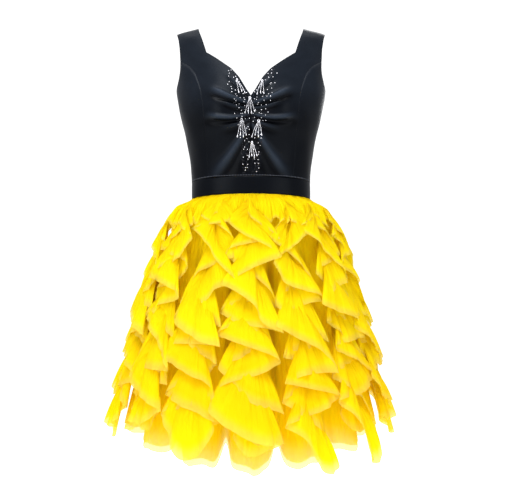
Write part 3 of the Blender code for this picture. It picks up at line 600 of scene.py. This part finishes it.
def underskirt_grid(start, end, columns, rows, lift, lengthen):
    """Ovals that widen downwards, with a cosine flute, fine creases that grow towards the hem, and a
    hem that wanders a little."""
    theta = np.radians(np.linspace(start, end, columns))
    top = BAND_BOTTOM + 0.6
    wander = 2.5 * np.sin(theta * 23.0 + 1.0) + 2.0 * np.sin(theta * 41.0)
    bottom = hem_drop(theta) + lengthen + wander
    down = np.linspace(0.0, 1.0, rows)[:, None] ** 1.2
    drop = top + (bottom - top)[None, :] * down
    flute = skirt_section("flute", drop) * np.cos(FLUTES * theta)[None, :]
    crease = np.sin(theta * 62.0 + 1.5 * np.sin(theta * 11.0))[None, :]
    crease = crease + 0.6 * np.sin(theta * 117.0)[None, :]
    out = lift * np.clip(down * 6.0, 0.0, 1.0) + crease * (0.3 + 1.5 * down)
    width = skirt_section("half_width", drop) + flute + out
    depth = skirt_section("half_depth", drop) + flute + out
    # Painted shade in the deepest part of the valleys between flutes, between drops 440 and 730
    valley = ((1.0 - np.cos(FLUTES * theta)) / 2.0)[None, :] ** 2
    gap = np.clip((drop - 440.0) / 60.0, 0.0, 1.0) * np.clip((730.0 - drop) / 60.0, 0.0, 1.0)
    # The edge layer paints the underskirt lighter at the top and deeper lower down, and lighter again
    # just above the hem
    layers = {"shade": np.clip(valley ** 4 * 1.1 - 0.35, 0.0, 0.68) * gap,
              "pale": np.clip((down - 0.93) * 14.0, 0.0, 0.9), "crimp": 0.5,
              "edge": 0.75 - 0.5 * down + np.clip(down - 0.8, 0.0, 0.2)}
    return np.stack([width * np.sin(theta), -depth * np.cos(theta), -drop], axis=-1), layers


for word, start, end in (("front", -89.95, 89.95), ("back_right", 90.05, 179.95),
                         ("back_left", 180.05, 269.95)):
    columns = round((end - start) * 2.0)
    points, layers = underskirt_grid(start, end, columns, 60, 0.5, -9.0)
    skirt = cloth("underskirt_full_" + word, points, skirt_tulle, layers=layers)
    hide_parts("underskirt_" + word)
    declare(points)
    points, layers = underskirt_grid(start, end, columns, 60, -1.6, 2.0)
    skirt = cloth("underskirt_sheer_" + word, points, sheer_tulle, layers=layers)
    declare(points)


# Flounce. A short strip of the same tulle, tightly gathered under the waistband so that it puffs out
# over the first ruffles, with many fine gathers that open into softer waves.
FLOUNCE_TOP = 345.5
FLOUNCE_BOTTOM = 398.0
FLOUNCE_SECTIONS = ((FLOUNCE_TOP, 120.5, 94.0, 0.8), (349.0, 123.5, 97.0, 1.4),
                    (364.0, 147.0, 120.5, 4.5), (FLOUNCE_BOTTOM, 166.0, 139.5, 6.5))
FLOUNCE_ROWS = 26


def flounce_grid(start, end, columns, rows):
    """Puffed ovals with waves, fine gathers that fade downwards, and a lobe between the columns."""
    table = np.array(FLOUNCE_SECTIONS)
    theta = np.radians(np.linspace(start, end, columns))
    down = np.linspace(0.0, 1.0, rows)[:, None]
    drop = FLOUNCE_TOP + (FLOUNCE_BOTTOM - FLOUNCE_TOP) * down ** 1.3
    wave = smooth(drop, table[:, 0], table[:, 3])
    wave = wave * np.cos(30.0 * theta + 0.9 * np.sin(7.0 * theta))[None, :]
    swirl = 9.0 * down * np.sin(8.0 * theta + 1.0)[None, :] + 2.0 * np.sin(theta * 19.0)[None, :]
    gather = np.sin(170.0 * theta[None, :] + swirl)
    gather = gather + 0.5 * np.sin(260.0 * theta[None, :] - 0.7 * swirl)
    out = wave + gather * (0.5 + 1.1 * np.clip(down * 4.0, 0.0, 1.0) * (1.0 - 0.7 * down))
    width = smooth(drop, table[:, 0], table[:, 1]) + out
    depth = smooth(drop, table[:, 0], table[:, 2]) + out
    tongue = 7.0 * ((1.0 - np.cos(FLUTES * theta)) / 2.0)[None, :] ** 2
    uneven = (5.0 * np.sin(theta * 21.0) + 6.0 * np.sin(theta * 37.0))[None, :]
    lower = drop + down ** 2 * (tongue + uneven)
    # Painted shade at the top, under the waistband, and painted light growing towards the lower edge
    layers = {"shade": np.clip(0.25 - down, 0.0, 0.25),
              "pale": np.clip((down - 0.9) * 8.0, 0.0, 0.5),
              "crimp": 0.6 - 0.3 * down, "edge": 0.5 + 0.5 * down}
    return np.stack([width * np.sin(theta), -depth * np.cos(theta), -lower], axis=-1), layers


for word, start, end in (("front", -89.9, 89.9), ("back_right", 90.1, 179.9),
                         ("back_left", 180.1, 269.9)):
    columns = round((end - start) * 4.0)
    points, layers = flounce_grid(start, end, columns, FLOUNCE_ROWS)
    flounce = cloth("flounce_upper_" + word, points, skirt_tulle, layers=layers)
    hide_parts("flounce_" + word)
    declare(points)


# Ruffle columns. Fifteen strips of tulle cut on a curve and sewn down the crest of each flute, so that
# their long free edges fall in a cascade from side to side with pointed tips.
# Each has a second strip, recessed and about half a wave off, and both are pale at their free edges.
# Columns: name, angle, start drop, end drop, waves, phase in twelfths, stand, fall
RUFFLES = (
    ("front", 0, 400.0, 712.0, 3.5, 2, 46.0, 82.0),
    ("front_right_1", 24, 404.0, 718.0, 3.5, 6, 48.0, 80.0),
    ("front_right_2", 48, 401.0, 706.0, 3.25, 0, 49.0, 79.0),
    ("side_right_1", 72, 402.0, 694.0, 3.25, 5, 49.0, 80.0),
    ("side_right_2", 96, 404.0, 690.0, 3.25, 10, 47.0, 80.0),
    ("back_right_1", 120, 400.0, 698.0, 3.5, 2, 48.0, 82.0),
    ("back_right_2", 144, 403.0, 706.0, 3.5, 8, 49.0, 80.0),
    ("back_right_3", 168, 401.0, 712.0, 3.25, 5, 46.0, 82.0),
    ("back_left_3", 192, 404.0, 708.0, 3.5, 10, 48.0, 80.0),
    ("back_left_2", 216, 400.0, 702.0, 3.25, 2, 48.0, 82.0),
    ("back_left_1", 240, 402.0, 696.0, 3.5, 6, 47.0, 81.0),
    ("side_left_2", 264, 404.0, 688.0, 3.25, 8, 50.0, 79.0),
    ("side_left_1", 288, 400.0, 696.0, 3.25, 0, 50.0, 80.0),
    ("front_left_2", 312, 403.0, 708.0, 3.5, 6, 50.0, 82.0),
    ("front_left_1", 336, 401.0, 716.0, 3.5, 10, 48.0, 82.0))
RUFFLE_ROWS_PER_WAVE = 64
RUFFLE_SPANS = 22
# Along a strip: cloth above its start, how near its end it may stop at a tip, the length it opens
# over, the length of its last fold, and the length of its upper part, whose tips reach farther round
RUFFLE_HEAD = 46.0
RUFFLE_STOP_WITHIN = 26.0
RUFFLE_OPENS_OVER = 120.0
RUFFLE_LAST_FOLD = 70.0
RUFFLE_UPPER = 190.0
# How pointed the wave is, how far its tips lean, how far front folds stand out, and the limit of all
RUFFLE_POINTED = 0.95
RUFFLE_LEAN = 20.0
RUFFLE_FRONT = 0.22
RUFFLE_LIMIT = 46.0
# Room that the heads of the strips leave for the flounce below them, and where that ends
FLOUNCE_STAND = 17.0
FLOUNCE_CLEAR = 445.0
# The two strips of a column: share of its half width, then how the inner one differs from the outer
OUTER_SPREAD = 1.25
INNER_SPREAD = 1.13
INNER_LATER = 6.0
INNER_SHORTER = 16.0
INNER_PHASE = 0.45
INNER_STAND = 0.58
INNER_FALL = 4.0
INNER_SEED = 0.21
SEED_STEP = 0.37


def ruffle_grid(theta, start, end, waves, phase, stand, fall, spread, seed):
    """Cascade: across the strip the cloth goes out, sideways and down; along the strip its free edge
    swings between the sides as a pointed wave and mostly hangs lower at the tips on one side, the
    same one for every column, so that the runs of the edge slant down to a tip. Spread is the share
    of a column's half width that a tip reaches. The folds that run one way stand in front of those
    that run back. Slow sines make each fold differ, fast ones crease it from seam to edge."""
    rows = round(waves * RUFFLE_ROWS_PER_WAVE * 1.1) + 1
    across = np.linspace(0.0, 1.0, RUFFLE_SPANS + 1)[None, :]
    drop = np.linspace(start - RUFFLE_HEAD, end + RUFFLE_STOP_WITHIN, rows)[:, None]
    beat = waves * (drop - start) / (end - start)
    phi = beat + phase
    phi = phi + 0.10 * np.sin(TURN * (0.61 * beat + seed))
    phi = phi + 0.05 * np.sin(TURN * (1.7 * beat + 2.0 * seed))
    swing = np.arcsin(RUFFLE_POINTED * np.sin(TURN * phi)) / math.asin(RUFFLE_POINTED)
    near_end = np.abs(drop - end) < RUFFLE_STOP_WITHIN
    stop = int(np.argmax(np.where(near_end, np.abs(swing), 0.0))) + 1
    drop, beat, phi, swing = drop[:stop], beat[:stop], phi[:stop], swing[:stop]
    end = float(drop[-1, 0])
    swing = swing * (0.86 + 0.14 * np.sin(TURN * (0.77 * beat + 1.9 * seed)))
    tip = np.abs(swing)
    lively = 1.0 + 0.16 * np.sin(TURN * (0.43 * beat + 1.3 * seed))
    lively = lively + 0.08 * np.sin(TURN * (1.13 * beat + 2.1 * seed))
    opened = np.clip((drop - start + RUFFLE_HEAD) / RUFFLE_OPENS_OVER, 0.0, 1.0)
    opened = opened * opened * (3.0 - 2.0 * opened)
    last = np.clip((drop - end + RUFFLE_LAST_FOLD) / RUFFLE_LAST_FOLD, 0.0, 1.0)

    over = FLOUNCE_STAND * np.clip((FLOUNCE_CLEAR - drop) / 50.0, 0.0, 1.0)
    over = over * np.clip((drop - BAND_BOTTOM) / 18.0, 0.0, 1.0)
    reach = 0.6 * np.sin(across * math.pi / 2.0) + 0.4 * across
    reach = reach * (1.0 - (0.30 * tip ** 2 + 0.30 * last) * across)
    front = 1.0 + RUFFLE_FRONT * np.cos(TURN * phi)
    crease = np.sin(TURN * (4.3 * phi + seed)) + 0.55 * np.sin(TURN * (9.1 * phi + 3.0 * seed))
    crease = crease + 0.35 * np.sin(TURN * (13.3 * phi + 2.0 * seed))
    crease = crease * (0.3 + 2.6 * across ** 1.3) * (1.0 + 0.9 * last)
    out = 1.4 + over + stand * (0.12 + 0.88 * opened) * reach * lively * front
    out = RUFFLE_LIMIT * np.tanh(out / RUFFLE_LIMIT)
    out = out + crease * np.clip(across * 5.0, 0.0, 1.0)

    dip = (3.0 + 5.0 * opened) * (1.0 - last) * tip ** 6 * across ** 2
    length = fall * (0.45 + 0.55 * opened) * lively * (0.9 + 0.1 * front)
    length = length * (1.0 + 0.55 * last * (1.0 - 0.9 * tip ** 2))
    length = length * (1.0 - 0.34 * np.clip((drop - end + 20.0) / 20.0, 0.0, 1.0) ** 2)
    lean = RUFFLE_LEAN * swing * (0.6 + 0.4 * np.sin(TURN * (0.37 * beat + 1.6 * seed)))
    lean = lean * (1.0 - 0.8 * last)
    fallen = drop + length * across ** 1.1 + dip + lean * (0.3 + 0.7 * opened) * across ** 1.6

    flute = skirt_section("flute", fallen)
    width = skirt_section("half_width", fallen) + flute + out
    depth = skirt_section("half_depth", fallen) + flute + out
    sideways = np.sin(across ** 0.85 * math.pi / 2.0) * 0.5 + 0.5 * across
    wander = 0.03 * np.sin(TURN * (0.31 * beat + seed))
    upper = np.clip((start + RUFFLE_UPPER - drop) / RUFFLE_UPPER, 0.0, 1.0)
    reach_round = math.pi / FLUTES * spread * (1.0 + 0.17 * upper - 0.34 * last)
    angle = math.radians(theta) + wander + reach_round * swing * sideways
    # Painted light at the free edge, fading out lower down the skirt
    lit = 1.0 - 0.95 * np.clip((drop - 500.0) / 170.0, 0.0, 1.0)
    # Painted shade near the seam, under the fold above
    layers = {"shade": np.clip(0.20 - across * 0.6, 0.0, 0.2),
              "pale": np.clip((across - 0.85) * 6.0, 0.0, 0.75),
              "crimp": np.clip(1.15 - across, 0.35, 0.9), "edge": across ** 1.3 * lit}
    return np.stack([width * np.sin(angle), -depth * np.cos(angle), -fallen], axis=-1), layers


for number, (word, theta, start, end, waves, phase, stand, fall) in enumerate(RUFFLES):
    seed = SEED_STEP * number
    points, layers = ruffle_grid(theta, start, end, waves, phase / 12.0, stand, fall,
                                 OUTER_SPREAD, seed)
    ruffle = cloth("ruffle_outer_" + word, points, tulle, layers=layers)
    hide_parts("ruffle_" + word)
    declare(points)
    points, layers = ruffle_grid(theta, start + INNER_LATER, end - INNER_SHORTER, waves,
                                 phase / 12.0 + INNER_PHASE, INNER_STAND * stand,
                                 fall + INNER_FALL, INNER_SPREAD, seed + INNER_SEED)
    under = cloth("ruffle_inner_" + word, points, tulle, layers=layers)
    declare(points)


# Bead work. Small silver beads are scattered along the neckline and down centre front among tiny dark
# ones, and six tassels of beads hang over the gathers, each strand ending in a drop.
# Tassels: x, drop, width of the head, strands, length, lean
TASSELS = (
    (-26.0, 138.0, 7.0, 3, 22.0, 9.0), (21.0, 140.0, 8.0, 3, 22.0, -3.0),
    (-2.0, 171.5, 10.0, 4, 26.0, 0.0), (-17.0, 212.0, 9.0, 4, 29.0, 0.0),
    (15.0, 215.0, 10.0, 4, 26.0, -4.0), (2.0, 254.0, 8.0, 4, 24.0, 2.0))
STRAND_BEADS = 24
STRAND_BEAD = 0.62
DROP_BEAD = 1.35
HEAD_BEADS = 8
HEAD_BEAD = 1.1
# How far the small and the dark beads spread from the centre line at each drop
SMALL_SPREAD = ((100.0, 66.0), (130.0, 48.0), (175.0, 38.0), (205.0, 30.0), (240.0, 20.0),
                (306.0, 14.0))
DARK_SPREAD = ((112.0, 46.0), (150.0, 38.0), (200.0, 30.0), (240.0, 22.0), (308.0, 16.0))
DARK_BEADS = 420
NECK_MARGIN = 3.0

silver = Finish("silver_beads")
silver.set(Base_Color=(0.80, 0.80, 0.84, 1.0), Roughness=0.22, Metallic=0.85)
glitter = Finish("dark_beads")
glitter.set(Base_Color=(0.03, 0.032, 0.04, 1.0), Roughness=0.12, Metallic=0.6)


def on_satin(x, drop, lift):
    """Points above the satin at distances from the centre line."""
    return bodice_surface(np.copysign(theta_at(np.abs(x), drop), x), drop, lift)


def bead_shape():
    """Closed bead: rings of a sphere between two poles, six sides round."""
    angles = np.arange(6) * math.pi / 3.0
    rings = [np.stack([np.cos(angles) * r, np.sin(angles) * r, np.full(6, z)], axis=-1)
             for z, r in ((0.62, 0.78), (-0.62, 0.78))]
    middle = np.stack([np.cos(angles + 0.5), np.sin(angles + 0.5), np.zeros(6)], axis=-1)
    points = np.concatenate([[[0.0, 0.0, 1.0]], rings[0], middle, rings[1], [[0.0, 0.0, -1.0]]])
    faces = []
    for k in range(6):
        n = (k + 1) % 6
        faces += [(0, 1 + k, 1 + n), (1 + k, 7 + k, 1 + n), (1 + n, 7 + k, 7 + n),
                  (7 + k, 13 + k, 7 + n), (7 + n, 13 + k, 13 + n), (13 + k, 19, 13 + n)]
    return points, np.array(faces)


def beads(name, centres, radii, stretch, finish):
    """One bead shape repeated at every centre, scaled by its radius and stretched downwards."""
    shape, faces = bead_shape()
    ones = np.ones(len(radii))
    scale = radii[:, None, None] * np.stack([ones, ones, stretch], axis=-1)[:, None, :]
    points = (centres[:, None, :] + shape[None, :, :] * scale).reshape(-1, 3) * MILLIMETRE
    first = np.arange(len(radii)) * len(shape)
    faces = (faces[None, :, :] + first[:, None, None]).reshape(-1, 3)
    mesh = bpy.data.meshes.new(name)
    mesh.from_pydata(points.tolist(), [], faces.tolist())
    mesh.shade_smooth()
    mesh.materials.append(finish.material)
    made = bpy.data.objects.new(name, mesh)
    scene.collection.objects.link(made)
    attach(made, "dress")
    return made


def beads_on_satin(name, xs, drops, lift, radius, finish):
    """Round beads of one size, all at one height above the satin."""
    count = len(xs)
    beads(name, on_satin(xs, drops, np.full(count, lift)), np.full(count, radius), np.ones(count),
          finish)


for number, (x, drop, head, strands, length, lean) in enumerate(TASSELS, start=1):
    xs, drops, lifts, radii, stretch = [], [], [], [], []
    for k in range(strands):
        offset = ((k + 0.5) / strands - 0.5) * head
        steps = np.linspace(0.0, 1.0, STRAND_BEADS)
        xs.append(x + 0.45 * offset + (lean + offset * 2.0) * steps ** 0.85)
        drops.append(drop - 1.0 + (length - 3.0 * (k % 2)) * steps)
        lifts.append(np.full(STRAND_BEADS, 1.2))
        radii.append(np.where(steps > 0.95, DROP_BEAD, STRAND_BEAD))
        stretch.append(np.where(steps > 0.95, 1.5, 1.2))
    cluster = np.arange(HEAD_BEADS)
    xs.append(x + np.cos(cluster * math.pi / 4.0) * head * 0.17)
    drops.append(drop - 3.0 + np.sin(cluster * math.pi / 4.0) * 2.2)
    lifts.append(np.full(HEAD_BEADS, 1.5))
    radii.append(np.full(HEAD_BEADS, HEAD_BEAD))
    stretch.append(np.ones(HEAD_BEADS))
    xs, drops, lifts, radii, stretch = map(np.concatenate, (xs, drops, lifts, radii, stretch))
    tassel = beads("bead_tassel_%d" % number, on_satin(xs, drops, lifts), radii, stretch, silver)
    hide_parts("tassel_%d" % number)

scatter = np.random.default_rng(7)
rows, places = np.meshgrid(np.arange(100.0, 307.0, 7.5), np.arange(-5.0, 6.0), indexing="ij")
xs = (places + 0.5 * (np.round(rows / 8.0) % 2)) * 8.5 + scatter.uniform(-3.4, 3.4, rows.shape)
rows = rows + scatter.uniform(-3.0, 3.0, rows.shape)
kept = (np.abs(xs) < edge(SMALL_SPREAD, rows)) & (np.abs(xs) > edge(NECK_EDGE, rows) + NECK_MARGIN)
beads_on_satin("beads_small", xs[kept], rows[kept], 0.5, 1.1, silver)
rows = scatter.uniform(112.0, 308.0, DARK_BEADS)
half = edge(DARK_SPREAD, rows)
inner = edge(NECK_EDGE, rows) + NECK_MARGIN
xs = np.sign(scatter.random(DARK_BEADS) - 0.5) * (
    inner + (half - inner).clip(1.0) * scatter.random(DARK_BEADS))
beads_on_satin("beads_dark", xs, rows, 0.35, 0.8, glitter)

# Topstitching. One row of small thread stitches holds the bodice to the waistband across the front.
thread = Finish("dark_thread")
thread.set(Base_Color=(0.09, 0.10, 0.13, 1.0), Roughness=0.6)
xs = np.arange(-113.0, 114.0, 3.0)
beads_on_satin("topstitch_waistband", xs, np.full(len(xs), BAND_TOP - 2.0), 0.3, 0.75, thread)


# Zip. A concealed zip closes centre back; only its black metal slider and pull show at the top.
zip_metal = Finish("zip_metal")
zip_metal.set(Base_Color=(0.02, 0.021, 0.025, 1.0), Roughness=0.38, Metallic=0.8)
for node in ("zip_slider", "zip_pull"):
    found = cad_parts[node]
    for piece in found if isinstance(found, (list, tuple)) else [found]:
        piece.data.materials.clear()
        piece.data.materials.append(zip_metal.material)
